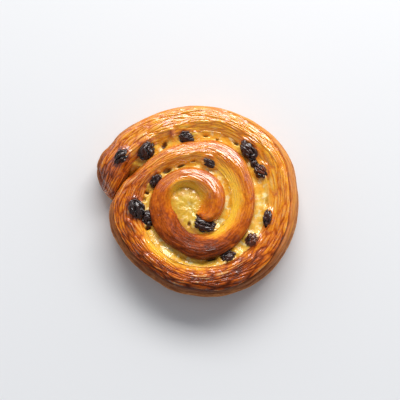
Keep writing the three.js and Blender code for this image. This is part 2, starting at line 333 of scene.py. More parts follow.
# how strongly the layers show along the coil
flakiness = [(-60, 0.3), (180, 0.3), (300, 0.5), (420, 0.65), (500, 0.8), (560, 1.2), (720, 1.1),
             (883, 1.2)]

# how thickly the glaze lies along the coil
glazeCover = [(-60, 0.5), (0, 0.4), (35, 1.0), (115, 1.0), (150, 0.45), (200, 0.3), (300, 0.3),
              (350, 0.45), (395, 0.9), (430, 1.0), (485, 1.0), (530, 0.6), (570, 0.45), (620, 0.4),
              (690, 0.5), (750, 0.9), (840, 1.0), (883, 0.5)]

# the crack along the rim of the outermost turn: where it lies across the top, and how deep it is
splitAt = [(-60, 0.8), (540, 0.88), (600, 0.93), (640, 0.95), (675, 0.9), (700, 0.8), (730, 0.76),
           (765, 0.82), (800, 0.9), (883, 0.92)]
splitStrength = [(-60, 0.0), (530, 0.0), (560, 0.5), (600, 0.75), (640, 0.7), (670, 1.0), (700, 1.0),
                 (740, 0.8), (790, 0.45), (840, 0.35), (883, 0.0)]

turn = 360.0
degree = math.radians(1)

# What no radius, groove depth, inset of the side, height of the side or flakiness passes
edgeReach = 80.0
deepestGroove = 10.0
mostInset = 5.0
highestLip = 20.0
mostFlaky = 2.0


# The coil's own measures, in the nodes of one tree
class CoilLaw:
    def __init__(self, nodes):
        self.n = nodes

    # a measure that changes along the coil, from its stops
    def along(self, stops, angle, top=1.0):
        span = coil["end"] - coil["start"]
        points = [((stop - coil["start"]) / span, value) for stop, value in stops]
        return self.n.curve((angle - coil["start"]) / span, points, top)

    def inner(self, angle):
        return self.along(innerEdge, angle, edgeReach)

    def outer(self, angle):
        return self.along(outerEdge, angle, edgeReach)

    def crest(self, angle):
        swaying = (coil["crestSwayPace"] * angle + coil["crestSwayFrom"]) * degree
        sway = coil["crestSway"] * self.n.sine(swaying)
        fall = coil["crestFall"] * (angle - coil["start"]) / turn
        droop = coil["tailDroop"] * self.n.ramp(angle, coil["end"] - coil["tailDroopReach"], coil["end"])
        return coil["crestHeight"] - fall + sway - droop

    # the groove is lowest beside the turn inside it and rises outwards
    def grooveOutside(self, angle):
        inGroove = self.n.ramp(angle, coil["start"], coil["start"] + coil["poolBlend"])
        low = self.crest(angle + turn) - self.along(grooveDepth, angle, deepestGroove)
        return self.n.mix(inGroove, coil["poolHeight"], low)

    def grooveInside(self, angle):
        poolEnd = coil["start"] + turn
        inGroove = self.n.ramp(angle, poolEnd - coil["poolBlend"], poolEnd + coil["poolBlend"])
        depth = self.along(grooveDepth, angle - turn, deepestGroove)
        shore = self.crest(angle) - depth + coil["grooveRise"]
        return self.n.mix(inGroove, coil["poolHeight"], shore)

    # place of the crest as a share of the width: further out on the +X side, further in on the +Y side
    def summit(self, angle):
        way = angle * degree
        shift = coil["crestShiftX"] * self.n.cosine(way) + coil["crestShiftY"] * self.n.sine(way)
        shift = shift - coil["crestShiftTop"] * self.n.most(self.n.sine(way), 0.0)
        return self.n.mix(self.exposed(angle), coil["crestAt"], coil["crestAtRim"]) + shift

    def spreadOutside(self, angle):
        width = self.inner(angle + turn) - self.outer(angle)
        return self.n.most(width - coil["seamWidth"], 0.0) / 2

    def spreadInside(self, angle):
        wound = self.n.past(angle, coil["start"] + turn)
        inPool = self.n.least(coil["poolTaperShare"] * self.inner(angle), coil["poolTaper"])
        return self.n.mix(wound, inPool, self.spreadOutside(angle - turn))

    def exposed(self, angle):
        return self.n.ramp(angle, coil["exposedFrom"], coil["exposedTo"])

    def place(self, angle, radius, height):
        way = angle * degree
        return self.n.vector((coil["eyeX"] + radius * self.n.cosine(way)) * mm,
                             (coil["eyeY"] + radius * self.n.sine(way)) * mm,
                             height * mm)


# The layers of the dough, which its shape and its finish both follow. A flake's length and width
# are in millimetres, and a pace is how fast a pattern changes along, across and from turn to turn.
layers = {
    "plateLength": 12.0, "plateWidth": 1.5,
    "wander": 5.2, "wanderPace": (0.028, 0.11, 1.0),
    "ripple": 1.6, "ripplePace": (0.1, 0.4, 1.0),
    "creaseWidth": 0.17, "pillowWidth": 0.42, "pillowHeight": 0.5, "plateLift": 0.55,
    "streakHeight": 0.8, "streakPace": (0.1, 1.7, 1.0),
}


# Long thin flakes with creases between them, laid along the flow of the strip:
# how high the surface stands, how near a crease is, and a shade for each flake
def bakedLayers(n, flow):
    wander = n.noise(n.scaled(flow, layers["wanderPace"]), 1.0, 2.0) - 0.5
    ripple = n.noise(n.scaled(flow, layers["ripplePace"]), 1.0, 2.0) - 0.5
    drift = n.vector(0.0, wander * layers["wander"] + ripple * layers["ripple"], 0.0)
    place = n.scaled(n.moved(flow, drift), (1 / layers["plateLength"], 1 / layers["plateWidth"], 1.0))
    edges = n.add("ShaderNodeTexVoronoi", {"feature": "DISTANCE_TO_EDGE", "voronoi_dimensions": "2D"},
                  {"Vector": place, "Scale": 1.0})
    plates = n.add("ShaderNodeTexVoronoi", {"feature": "F1", "voronoi_dimensions": "2D"},
                   {"Vector": place, "Scale": 1.0}, "Color")
    shade, lift = n.parts(plates)[:2]
    crease = 1.0 - n.ramp(edges, 0.0, layers["creaseWidth"])
    pillow = n.ramp(edges, 0.0, layers["pillowWidth"])
    streaks = n.noise(n.scaled(flow, layers["streakPace"]), 1.0, 3.0, 0.6) - 0.5
    height = ((pillow - 0.6) * layers["pillowHeight"] + (lift - 0.5) * layers["plateLift"]
              + streaks * layers["streakHeight"])
    return height, crease, shade


def newMaterial(name):
    material = bpy.data.materials.new(name)
    material.use_nodes = True
    material.node_tree.nodes.clear()
    return material, Nodes(material.node_tree)


def attribute(n, name, output="Fac"):
    return n.add("ShaderNodeAttribute", {"attribute_name": name}, None, output)


def surface(n, inputs):
    shader = n.add("ShaderNodeBsdfPrincipled", None, inputs)
    n.add("ShaderNodeOutputMaterial", None, {"Surface": shader})


def bump(n, height, strength, distance):
    return n.add("ShaderNodeBump", None,
                 {"Strength": strength, "Distance": distance, "Height": height})


# a pattern's scale is how many of its marks fit in a metre
doughLook = {
    "stain": tint(248, 194, 56),
    "golden": tint(242, 164, 40),
    "orange": tint(224, 130, 26),
    "brown": tint(190, 90, 16),
    "dark": tint(136, 56, 12),
    "burnt": tint(88, 34, 8),
    # the cream of the painted highlights on raised leaf edges
    "paintedHighlight": tint(252, 210, 128),
    "dull": tint(200, 138, 80),
    "rim": tint(190, 122, 70),
    "rimDark": tint(112, 54, 24),
    "rimLight": tint(222, 172, 124),
    "patchScale": 140.0, "speckleScale": 520.0,
    "broadPace": (0.1, 0.3, 1.0), "ripplePace": (0.22, 0.75, 1.0), "grainPace": (0.9, 2.4, 1.0),
    "paintedHighlightShare": 0.34, "dullShare": 0.3,
    "bareRoughness": 0.75, "glazeSmooths": 0.45, "wetSmooths": 0.18,
    "shine": 0.16, "coatRoughness": 0.06, "coatIor": 1.75, "glow": 0.08, "reliefDepth": 0.5 * mm,
}


# The colour that the top has baked to, darker in its creases and paler on its raised flakes, partly as
# painted shade; then the same with painted highlights laid pale on its raised leaf edges under the glaze
def toastedTop(n, toast, layer, patches, speckle, broad):
    look = doughLook
    height, crease, shade = layer
    flaky = attribute(n, "flaky")
    # each flake's own tone, with the creases darkened and the raised flakes paled: partly painted shade
    streaks = ((shade - 0.5) * 0.15 + crease * 0.15 - height * 0.14) * flaky
    mottle = streaks + broad * 0.35 + patches * 0.34 + speckle * 0.35
    strength = n.ramp(toast, 0.0, 0.4) * 0.75 + 0.25
    # darker in the pits: painted shade in the hollows
    baked = toast + mottle * strength + attribute(n, "pit") * 0.5
    baked = baked + attribute(n, "near") * 0.2 + attribute(n, "browned")
    colour = n.add("ShaderNodeValToRGB", {"stops": [
        (0.06, look["stain"]), (0.26, look["golden"]), (0.47, look["orange"]),
        (0.66, look["brown"]), (0.83, look["dark"]), (1.0, look["burnt"])]}, {"Fac": baked})
    # painted highlight: the raised leaf edges are paled towards cream as if catching the light
    ridgeHighlight = n.ramp(height + speckle * 0.8, 0.18, 0.5) * n.ramp(flaky, 0.3, 1.1) * look["paintedHighlightShare"]
    return colour, n.mixColour(ridgeHighlight, colour, look["paintedHighlight"])


# The dull colour where no glaze lies: the rim a little, the side most
def bareSide(n, toast, colour, leaves):
    look = doughLook
    rim = n.add("ShaderNodeValToRGB", {"stops": [
        (0.0, look["rimDark"]), (0.5, look["rim"]), (1.0, look["rimLight"])]},
        {"Fac": leaves + 0.5 - (toast - 0.5) * 1.1})
    dulled = n.mixColour(look["dullShare"], colour, look["dull"])
    return n.mixColour(0.4 + attribute(n, "side") * 0.45, dulled, rim)


def makeDoughMaterial():
    look = doughLook
    material, n = newMaterial("glazed_dough")
    flow = attribute(n, "flow", "Vector")
    toast = attribute(n, "toast")
    glaze = attribute(n, "glaze")
    place = n.add("ShaderNodeTexCoord", None, None, "Object")
    height, crease, shade = bakedLayers(n, flow)
    patches = n.noise(place, look["patchScale"], 4.0, 0.6) - 0.5
    speckle = n.noise(place, look["speckleScale"], 3.0, 0.6) - 0.5
    broad = n.noise(n.scaled(flow, look["broadPace"]), 1.0, 3.0, 0.55) - 0.5
    colour, lit = toastedTop(n, toast, (height, crease, shade), patches, speckle, broad)
    leaves = height * 0.3 + (shade - 0.5) * 0.24 + patches * 1.3 + speckle * 0.9 + broad * 0.6
    bare = bareSide(n, toast, colour, leaves)
    ripples = n.noise(n.scaled(flow, look["ripplePace"]), 1.0, 2.0, 0.55)
    grain = n.noise(n.scaled(flow, look["grainPace"]), 1.0, 3.0, 0.6)
    relief = grain * 0.6 + ripples * 1.4 + height * 0.4 + speckle * 0.6
    covered = attribute(n, "gloss") + patches * 1.5 + speckle * 1.2 - crease * 0.4
    wet = n.ramp(covered, 0.3, 0.75) * (1.0 - n.ramp(toast, 0.45, 0.9) * 0.4)
    surface(n, {
        "Base Color": n.mixColour(glaze, bare, lit),
        "Roughness": look["bareRoughness"] - glaze * (look["glazeSmooths"] + wet * look["wetSmooths"]),
        "Specular IOR Level": look["shine"],
        "Coat Weight": wet,
        "Coat Roughness": look["coatRoughness"],
        "Coat IOR": look["coatIor"],
        "Subsurface Weight": look["glow"],
        "Subsurface Radius": (1.0, 0.4, 0.15),
        "Subsurface Scale": 2 * mm,
        "Normal": bump(n, relief, 0.6, look["reliefDepth"]),
    })
    return material


custardLook = {
    "pale": tint(250, 206, 84),
    "deep": tint(244, 176, 40),
    "cream": tint(252, 236, 178),
    "pool": tint(212, 176, 54),
    "crust": tint(232, 150, 40),
    "fleck": tint(150, 96, 34),
    # the painted shade inside the pits
    "pit": tint(120, 62, 18),
    "fold": tint(196, 104, 24),
    "cloudScale": 160.0, "curdScale": 330.0, "lumpScale": 650.0, "fleckScale": 900.0,
    "poolShare": 0.6, "crustShare": 0.8, "fleckShare": 0.5,
    "roughness": 0.3, "coat": 0.7, "coatRoughness": 0.07, "glow": 0.2, "reliefDepth": 0.6 * mm,
}


def makeCustardMaterial():
    look = custardLook
    material, n = newMaterial("baked_custard")
    place = n.add("ShaderNodeTexCoord", None, None, "Object")
    inGroove = attribute(n, "groove")
    cloud = n.noise(place, look["cloudScale"], 3.0, 0.6)
    flecks = n.ramp(n.noise(place, look["fleckScale"], 2.0, 0.5), 0.66, 0.74)
    curds = n.ramp(n.noise(place, look["curdScale"], 2.0, 0.5), 0.52, 0.66) * n.mix(inGroove, 0.45, 0.7)
    crusted = n.ramp(attribute(n, "edge") + (cloud - 0.5) * 1.3, 0.62, 1.1) * look["crustShare"]
    colour = n.mixColour(n.ramp(cloud, 0.35, 0.65), look["deep"], look["pale"])
    pooled = n.mixColour((1.0 - inGroove) * look["poolShare"], colour, look["pool"])
    curdled = n.mixColour(curds, pooled, look["cream"])
    browned = n.mixColour(crusted, curdled, look["crust"])
    spotted = n.mixColour(flecks * look["fleckShare"], browned, look["fleck"])
    folded = n.mixColour(n.ramp(attribute(n, "browned"), 0.02, 0.3), spotted, look["fold"])
    lumps = n.noise(place, look["lumpScale"], 3.0, 0.5)
    surface(n, {
        # the pits darkened: painted shade in the hollows
        "Base Color": n.mixColour(attribute(n, "pit"), folded, look["pit"]),
        "Roughness": look["roughness"] + cloud * 0.15,
        "Coat Weight": look["coat"],
        "Coat Roughness": look["coatRoughness"],
        "Subsurface Weight": look["glow"],
        "Subsurface Radius": (1.0, 0.7, 0.25),
        "Subsurface Scale": 3 * mm,
        "Normal": bump(n, lumps, 0.4, look["reliefDepth"]),
    })
    return material


raisinLook = {
    "black": tint(12, 5, 4), "brown": tint(42, 16, 9), "amber": tint(116, 54, 26),
    "cloudScale": 300.0, "skinScale": 900.0,
    "roughness": 0.18, "shine": 0.3, "coat": 0.7, "coatRoughness": 0.06, "reliefDepth": 0.4 * mm,
}


def makeRaisinMaterial():
    look = raisinLook
    material, n = newMaterial("raisin_skin")
    place = n.add("ShaderNodeTexCoord", None, None, "Object")
    fold = attribute(n, "fold")
    ripeness = attribute(n, "ripeness")
    cloud = n.noise(place, look["cloudScale"], 3.0, 0.6)
    # black in the wrinkle valleys and browner on the lobes: painted shade, with a random tone from the
    # cloud
    colour = n.mixColour(n.ramp(fold + (cloud - 0.5), 0.2, 0.9), look["black"], look["brown"])
    skin = n.noise(place, look["skinScale"], 2.0, 0.5)
    surface(n, {
        "Base Color": n.mixColour(ripeness * n.ramp(cloud, 0.35, 0.6), colour, look["amber"]),
        "Roughness": look["roughness"] + cloud * 0.15,
        "Specular IOR Level": look["shine"],
        "Coat Weight": look["coat"],
        "Coat Roughness": look["coatRoughness"],
        "Normal": bump(n, skin, 0.5, look["reliefDepth"]),
    })
    return material


doughMaterial = makeDoughMaterial()
custardMaterial = makeCustardMaterial()
raisinMaterial = makeRaisinMaterial()
print("finishes made")


# The raisins: length and width in millimetres, heading of the long axis, how brown the skin has stayed
raisins = [
    (9.8, 7, 45, 0.0), (12.4, 9.2, 62, 0.1), (10.8, 7.8, -10, 0.1), (9.4, 6.4, 70, 0.2),
    (11.6, 9.8, 120, 0.0), (9.4, 7.8, 110, 0.0), (14, 9.2, -15, 0.1), (8, 6, -35, 0.1),
    (12.8, 8.8, -52, 0.1), (5.4, 5, -60, 0.1), (9.6, 7.6, -50, 0.9), (9.6, 5, 82, 0.2),
    (8.6, 7.4, 50, 0.8), (9.8, 6.6, 15, 0.2),
]
raisinForm = {
    "flatness": 0.84, "plumpness": 1.06, "lump": 0.4,
    "fold": 0.26, "foldScale": 0.95, "foldWidth": 0.24,
    "crease": 0.1, "creaseScale": 1.9, "creaseWidth": 0.3, "creaseDrift": (3.1, 1.7, 4.3),
    "drawSteps": (7.3, 3.1, 5.7),
}
drawStep = 1.37             # the step between one raisin's draw from the noise and the next one's


def makeRaisinTree():
    form = raisinForm
    shape = ShapeTree("wrinkled_raisin", {
        "Place": (0.0, 0.0, 0.0), "Size": (1.0, 1.0, 1.0), "Heading": 0.0, "Draw": 0.0,
        "Ripeness": 0.0, "Finish": raisinMaterial})
    n = shape.nodes
    ball = n.add("GeometryNodeMeshIcoSphere", None, {"Radius": 1.0, "Subdivisions": 6}, "Mesh")
    place = n.add("GeometryNodeInputPosition")
    drawn = n.vector(*[shape.get("Draw") * step for step in form["drawSteps"]])
    lump = n.noise(n.moved(n.scaled(place, (0.7, 1.0, 1.0)), drawn), 1.0, 1.0) - 0.5
    bent = n.moved(n.scaled(place, (0.6, 1.15, 1.15)), drawn)
    drifted = n.moved(bent, form["creaseDrift"])
    foldsAway = n.size(n.noise(bent, form["foldScale"], 0.0, 0.4, 0.5) - 0.5) * 2
    creasesAway = n.size(n.noise(drifted, form["creaseScale"], 0.0, 0.5, 0.3) - 0.5) * 2
    folded = n.ramp(foldsAway, 0.0, form["foldWidth"])
    creased = n.ramp(creasesAway, 0.0, form["creaseWidth"])
    size = (form["plumpness"] + lump * form["lump"] - (1.0 - folded) * form["fold"]
            - (1.0 - creased) * form["crease"])
    # the fold mark is low in the wrinkle valleys, where the finish paints shade
    marked = shape.store(ball, "fold", folded * 0.6 + creased * 0.4)
    marked = shape.store(marked, "ripeness", shape.get("Ripeness"))
    formed = n.add("GeometryNodeSetPosition", None, {
        "Geometry": marked, "Position": n.stretched(place, size)})
    turned = n.vector(0.0, 0.0, shape.get("Heading") * degree)
    put = n.add("GeometryNodeTransform", None, {
        "Geometry": formed, "Translation": shape.get("Place"), "Rotation": turned,
        "Scale": shape.get("Size")})
    shape.finish(put, shape.get("Finish"))
    return shape


raisinTree = makeRaisinTree()
raisinSkins = bpy.data.collections.new("raisins")
for number, (length, width, heading, ripeness) in enumerate(raisins, 1):
    node = "raisin_" + str(number)
    low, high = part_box(node)
    centre = (Vector(low) + Vector(high)) / 2
    sizes = {
        "Place": tuple(centre),
        "Size": (length / 2 * mm, width / 2 * mm, width / 2 * raisinForm["flatness"] * mm),
        "Heading": float(heading), "Draw": number * drawStep, "Ripeness": ripeness,
        "Finish": raisinMaterial}
    raisin = makePiece(raisinTree, "raisin_skin_" + str(number), sizes, node)
    raisinSkins.objects.link(raisin)


# Burst air pockets, which go into the dough and the custard alike:
# place from the eye in millimetres, length, width, heading, depth
pits = [
    (-15.1, 36.4, 5.8, 3.0, 60, 2.6), (-5.5, 23.8, 5.4, 1.7, 20, 1.8), (-13.5, 21.0, 6.4, 3.0, 25, 2.0),
    (-24.8, 8.4, 2.8, 2.4, 0, 2.4), (-26.2, 4.4, 3.2, 2.0, 90, 1.4), (-24.0, -11.8, 4.2, 2.6, 30, 2.4),
    (-0.8, -9.8, 3.0, 2.4, 90, 1.8), (26.2, 37.2, 4.6, 2.2, -25, 1.8), (42.6, -9.9, 4.4, 1.5, 90, 1.6),
    (43.0, 3.1, 6.0, 2.2, 85, 1.0), (11.5, -29.6, 7.0, 1.8, 15, 2.0), (8.6, 41.6, 2.0, 1.7, 0, 1.6),
    (15.4, 39.6, 2.2, 1.5, 0, 1.6), (1.7, 26.3, 3.6, 1.4, 10, 1.2),
]

# folds and blisters that stand up: place from the eye, length, width, heading, height, browning
folds = [
    (-10.6, 41.4, 9.0, 4.6, 104, 1.6, 0.2), (3.4, 41.8, 7.0, 4.6, 85, 1.3, 0.1),
    (-33.5, -10.4, 9.0, 3.4, -48, 1.7, 0.06), (-8.4, -29.8, 5.2, 4.2, 20, 1.0, 0.14),
    (15.6, -29.2, 3.0, 5.0, 20, 1.0, 0.0), (25.6, -24.8, 3.4, 6.4, 40, 1.4, -0.1),
]

# Both stay on the upper part of the pastry, and the dough and custard well up round the raisins
upper = {"from": 12.0, "to": 20.0, "wellTo": 18.0, "wellHeight": 0.9, "wellReach": 2.2}


# Lets a surface well up round the raisins, and marks how near they are
def welled(shape, geometry):
    n = shape.nodes
    skins = n.add("GeometryNodeCollectionInfo", None, {"Collection": shape.get("Raisins")})
    real = n.add("GeometryNodeRealizeInstances", None, {"Geometry": skins})
    away = n.add("GeometryNodeProximity", {"target_element": "FACES"}, {"Geometry": real}, "Distance")
    near = 1.0 - n.ramp(away, 0.0, upper["wellReach"] * mm)
    z = n.parts(n.add("GeometryNodeInputPosition"))[2]
    onTop = n.ramp(z, upper["from"] * mm, upper["wellTo"] * mm)
    marked = shape.store(geometry, "near", near * onTop)
    up = n.vector(0.0, 0.0, shape.field("near") * upper["wellHeight"] * mm)
    return n.add("GeometryNodeSetPosition", None, {"Geometry": marked, "Offset": up})


# How far a point is from the middle of a spot, where 1 is the spot's rim
def fromSpot(n, x, y, spot):
    placeX, placeY, length, width, heading = spot
    turned = math.radians(heading)
    besideX = x - (coil["eyeX"] + placeX) * mm
    besideY = y - (coil["eyeY"] + placeY) * mm
    lengthwise = (besideX * math.cos(turned) + besideY * math.sin(turned)) / (length / 2 * mm)
    crosswise = (besideY * math.cos(turned) - besideX * math.sin(turned)) / (width / 2 * mm)
    return n.root(lengthwise * lengthwise + crosswise * crosswise)


# Presses the pits into a surface, raises the folds on it, and marks both; the pits' mark is for painted
# shade in them
def sunk(shape, geometry):
    n = shape.nodes
    x, y, z = n.parts(n.add("GeometryNodeInputPosition"))
    depth = 0.0
    for *spot, deep in pits:
        depth = n.most(depth, (1.0 - n.ramp(fromSpot(n, x, y, spot), 0.55, 1.12)) * deep)
    rise = 0.0
    browning = 0.0
    for *spot, high, brown in folds:
        inside = 1.0 - n.ramp(fromSpot(n, x, y, spot), 0.1, 1.4)
        rise = n.most(rise, inside * high)
        browning = browning + inside * brown
    onTop = n.ramp(z, upper["from"] * mm, upper["to"] * mm)
    # the pit mark, for the painted shade that darkens the hollows in both finishes
    marked = shape.store(geometry, "pit", n.ramp(depth * onTop, 0.2, 2.5))
    marked = shape.store(marked, "browned", browning * onTop)
    kept = shape.store(marked, "sinking", (depth - rise) * onTop * mm)
    down = n.vector(0.0, 0.0, -shape.field("sinking"))
    return n.add("GeometryNodeSetPosition", None, {"Geometry": kept, "Offset": down})


dough = {
    "Steps along": 560, "Steps on tail end": 14,
    "Rows on top": 94, "Rows on side": 56, "Rows underneath": 6, "Rows inside": 8,
    "Layer depth": 0.5, "Side layer depth": 0.6, "Swell": 0.7, "Split depth": 1.0,
    "Raisins": raisinSkins,
    "Finish": doughMaterial,
}
crowding = 0.8              # the stations crowd together towards the tail, to lie evenly along the strip
welding = 0.002 * mm        # points closer than this are one

# The strip's length: millimetres for each radian wound, and for the square of the radians wound
woundLength = {"first": 13.0, "growth": 1.32}

# Millimetres of each part across the strip, for the patterns that follow it
flowWidth = {"top": 16.0, "hiddenLip": 3.0, "bareLip": 9.0, "side": 22.0, "underside": 12.0,
             "inside": 10.0}
shoulder = flowWidth["top"] + flowWidth["bareLip"]
foot = shoulder + flowWidth["side"]

# How darkly the bare side bakes: its shoulder, how much paler its belt is, how much darker its foot,
# and how many millimetres the shoulder and the foot take to fade out
sideBaking = {"shoulder": 0.68, "crestShare": 0.4, "belt": 0.32, "shoulderReach": 10.0,
              "foot": 0.3, "footReach": 9.0}

# How darkly the rest bakes: where custard has stained it, how much paler it is beside the groove, out of
# sight, and how much darker at the lip; then painted shade: how much darker the front of the lip is,
# facing away from the lamp, the angle where that is strongest, and how much darker the crack is
topBaking = {"stained": 0.08, "groove": 0.1, "hidden": 0.3, "lip": 0.02, "lipShade": 0.12,
             "shadeAngle": 240.0, "crack": 0.22}


# A sheet of unit size, which becomes the skin of a piece
def skinSheet(n, columns, rows):
    return n.add("GeometryNodeMeshGrid", None, {
        "Size X": 1.0, "Size Y": 1.0, "Vertices X": columns + 1, "Vertices Y": rows + 1}, "Mesh")


# How far a row of the sheet is across the top, down the outer side, along the underside and up
# the inner side, from the count of rows on each
def sectionShares(n, row, counts):
    shares = []
    before = 0.0
    for count in counts:
        shares.append(n.least(n.most((row - before) / count, 0.0), 1.0))
        before = before + count
    return shares


def welded(n, geometry):
    joined = n.add("GeometryNodeMergeByDistance", None, {"Geometry": geometry, "Distance": welding})
    return n.add("GeometryNodeFlipFaces", None, {"Mesh": joined})


# Over the top, from the inner edge up to the crest and down to the lip: radius, height, and how
# far the lip has turned down
def overTop(n, law, angle, across):
    exposed = law.exposed(angle)
    crestAt = law.summit(angle)
    beyondCrest = n.past(across, crestAt)
    lip = n.mix(exposed, law.grooveOutside(angle), rimSide[0][2])
    low = n.mix(beyondCrest, law.grooveInside(angle), lip)
    emerged = n.ramp(angle, coil["start"] - 3, coil["start"] + coil["startBlend"])
    summit = n.mix(emerged, low + coil["startRise"], law.crest(angle))
    climb = n.least(across / crestAt, 1.0) ** coil["climbCurve"]
    rise = n.sine(climb * (math.pi / 2))
    beyond = n.most((across - crestAt) / (1.0 - crestAt), 0.0)
    soft = coil["crestRoundness"]
    gentle = (n.root(beyond * beyond + soft ** 2) - soft) / (math.hypot(1, soft) - soft)
    steep = 1.0 - n.root(n.most(1.0 - beyond ** coil["lipCurve"], 0.0))
    fall = 1.0 - coil["fallShare"] * gentle - (1.0 - coil["fallShare"]) * steep
    height = n.mix(n.mix(beyondCrest, rise, fall), low, summit)
    radius = n.mix(across, law.inner(angle), law.outer(angle) - exposed * rimSide[0][1])
    return radius, height, n.mix(beyondCrest, 0.0, steep)


# Down the outer side, bulging where it shows and following the groove where it doesn't
def downSide(n, law, angle, down):
    exposed = law.exposed(angle)
    outer = law.outer(angle)
    inset = n.curve(down, [(share, inwards) for share, inwards, level in rimSide], mostInset)
    level = n.curve(down, [(share, level) for share, inwards, level in rimSide], highestLip)
    narrowed = n.least(down / (1 - coil["seamTop"]), 1.0)
    hiddenRadius = outer + narrowed * law.spreadOutside(angle)
    radius = n.mix(exposed, hiddenRadius, outer - inset)
    height = n.mix(exposed, (1.0 - down) * law.grooveOutside(angle), level)
    return radius, height


# Where each point of the sheet goes: round the strip's section at each station, with the start
# closed to a point over four stations and the tail drawn in and closed by a bulging face
def rolledStrip(shape, law):
    n = shape.nodes
    steps = shape.get("Steps along")
    capSteps = shape.get("Steps on tail end")
    labels = ("Rows on top", "Rows on side", "Rows underneath", "Rows inside")
    counts = [shape.get(label) for label in labels]
    columns = steps + capSteps
    rows = sum(counts)
    sheet, station, row = shape.counted(skinSheet(n, columns, rows), columns, rows)
    share = n.least(station / steps, 1.0)
    wound = (coil["end"] - coil["start"]) * share * (1 + crowding) / (1 + crowding * share)
    angle = coil["start"] + wound
    onCap = n.most(station - steps, 0.0) / capSteps
    across, down, under, up = sectionShares(n, row, counts)
    onSide = n.past(row, counts[0] + 0.5)
    onBase = n.past(row, counts[0] + counts[1] + 0.5)
    onInside = n.past(row, counts[0] + counts[1] + counts[2] + 0.5)

    inner = law.inner(angle)
    foldedIn = inner - law.spreadInside(angle)
    topRadius, topHeight, turnedDown = overTop(n, law, angle, across)
    sideRadius, sideHeight = downSide(n, law, angle, down)
    baseRadius = n.mix(under, sideRadius, foldedIn)
    insideRadius = n.mix(n.ramp(up, coil["seamTop"], 1.0, "LINEAR"), foldedIn, inner)
    outerRadius = n.mix(onBase, n.mix(onSide, topRadius, sideRadius), baseRadius)
    radius = n.mix(onInside, outerRadius, insideRadius)
    height = n.mix(onInside, n.mix(onSide, topHeight, sideHeight), up * law.grooveInside(angle))

    leaning = (0.5 - n.mix(onSide, across, 1.0 - under)) * coil["tailLean"]
    lean = leaning * n.ramp(angle, coil["end"] - coil["tailLeanReach"], coil["end"]) * (1.0 - onCap)
    ending = n.most(1.0 - (coil["end"] - angle) / coil["tailRound"], 0.0)
    drawnIn = 1.0 - n.root(n.most(1.0 - ending * ending, 0.0))
    opening = n.least(station / 4, 1.0) * (1.0 - onCap)
    bulge = coil["tailBulge"] * n.root(n.least(onCap * (2.0 - onCap), 1.0))
    middle = (inner + law.outer(angle)) / 2
    ringRadius = n.mix(opening * (1.0 - drawnIn * coil["tailNarrowing"]), middle, radius)
    ringHeight = n.mix(opening * (1.0 - drawnIn * coil["tailLowering"]), coil["tailLevel"], height)
    rolled = n.add("GeometryNodeSetPosition", None, {
        "Geometry": sheet,
        "Position": law.place(angle + lean + bulge, ringRadius, ringHeight)})

    exposed = law.exposed(angle)
    flow = stripFlow(n, angle, (across, down, under, up), turnedDown, exposed, onInside)
    outside = (1.0 - onBase) * n.mix(onSide, 1.0, exposed)
    marked = shape.store(rolled, "flow", flow, "FLOAT_VECTOR")
    marked = shape.store(marked, "shown", n.mix(onInside, outside, n.ramp(up, 0.6, 1.0)))
    marked = shape.store(marked, "side", onSide * (1.0 - onInside))
    marked = shape.store(marked, "exposed", exposed)
    marked = shape.store(marked, "across", across * (1.0 - onInside))
    marked = shape.store(marked, "turning", angle)
    return welded(n, marked)


# Where a point lies on the strip: millimetres along it, millimetres across it, and the turn
def stripFlow(n, angle, shares, turnedDown, exposed, onInside):
    across, down, under, up = shares
    wound = (angle - coil["start"]) * degree
    length = wound * (woundLength["first"] + wound * woundLength["growth"])
    overLip = turnedDown * n.mix(exposed, flowWidth["hiddenLip"], flowWidth["bareLip"])
    widthwise = across * flowWidth["top"] + overLip + down * flowWidth["side"]
    widthwise = widthwise + under * flowWidth["underside"]
    widthwise = n.mix(onInside, widthwise, (up - 1.0) * flowWidth["inside"])
    return n.vector(length, widthwise, angle / turn)


crackForm = {"halfWidth": 0.045, "wander": 0.09, "wanderPace": (0.05, 0.0, 1.0)}


# The crack that parts the glazed top of the outermost turn from its bare rim
def rimSplit(shape, law):
    n = law.n
    angle = shape.field("turning")
    slid = n.scaled(shape.field("flow", "FLOAT_VECTOR"), crackForm["wanderPace"])
    wander = (n.noise(slid, 1.0, 2.0) - 0.5) * crackForm["wander"]
    off = n.size(shape.field("across") - law.along(splitAt, angle) - wander)
    strength = law.along(splitStrength, angle) * shape.field("exposed")
    return (1.0 - n.ramp(off, 0.0, crackForm["halfWidth"])) * strength


swellPace = (0.05, 0.13, 1.0)


# The layers, a slow swelling of the whole strip, and the crack, laid on its skin
def layeredStrip(shape, law, geometry):
    n = shape.nodes
    flow = shape.field("flow", "FLOAT_VECTOR")
    onSide = shape.field("side")
    height = bakedLayers(n, flow)[0]
    swell = (n.noise(n.scaled(flow, swellPace), 1.0, 1.0) - 0.5) * shape.get("Swell") * 2.0
    flaky = law.along(flakiness, shape.field("turning"), mostFlaky)
    strongest = n.mix(onSide, shape.get("Layer depth") * flaky, shape.get("Side layer depth"))
    atEdge = n.ramp(shape.field("across"), 0.0, 0.3) * (1.0 - 0.4 * onSide)
    raised = (height * strongest + swell) * atEdge * shape.field("shown")
    return shape.pushed(geometry, (raised - rimSplit(shape, law) * shape.get("Split depth")) * mm)
